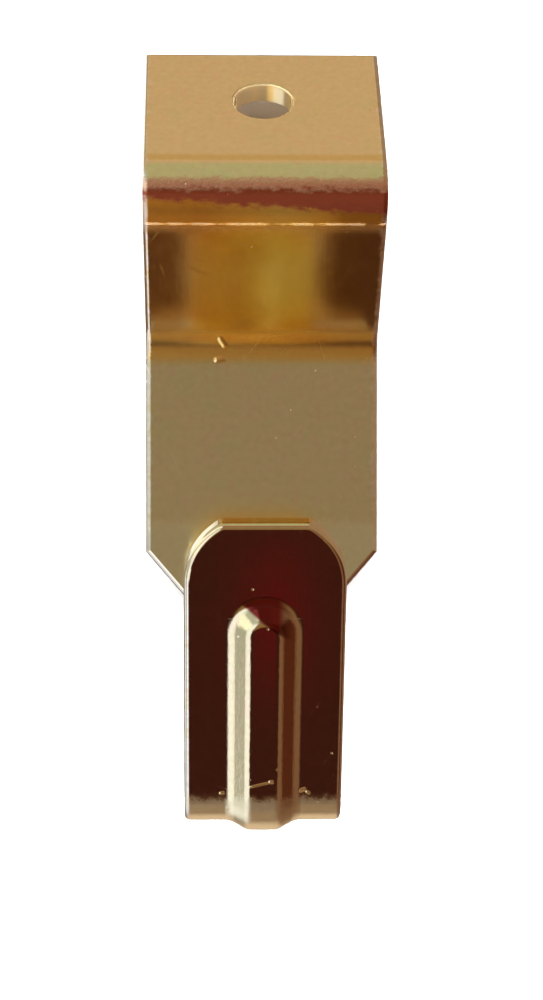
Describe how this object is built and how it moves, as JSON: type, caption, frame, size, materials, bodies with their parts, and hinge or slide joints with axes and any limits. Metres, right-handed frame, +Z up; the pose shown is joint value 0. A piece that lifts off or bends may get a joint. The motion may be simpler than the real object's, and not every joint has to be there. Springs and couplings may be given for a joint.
{
  "type": "picture hook",
  "caption": "Wall picture hook bent from one brass-plated steel strip: sloped flap with a nail hole, flat wall plate and a ribbed, upturned hook that carries a frame's wire or ring.",
  "frame": {"origin": "middle of the wall plate's back face, at the height of the shoulder line", "axes": "+Z up along the strip, +Y into the wall, -Y towards the viewer, X across the strip"},
  "size_m": [0.0156, 0.0123, 0.0522],
  "materials": {
    "plated_strip": "bright plating over pressed steel strip"
  },
  "bodies": {
    "root": {"picture_hook": "plated_strip"}
  },
  "joints": []
}
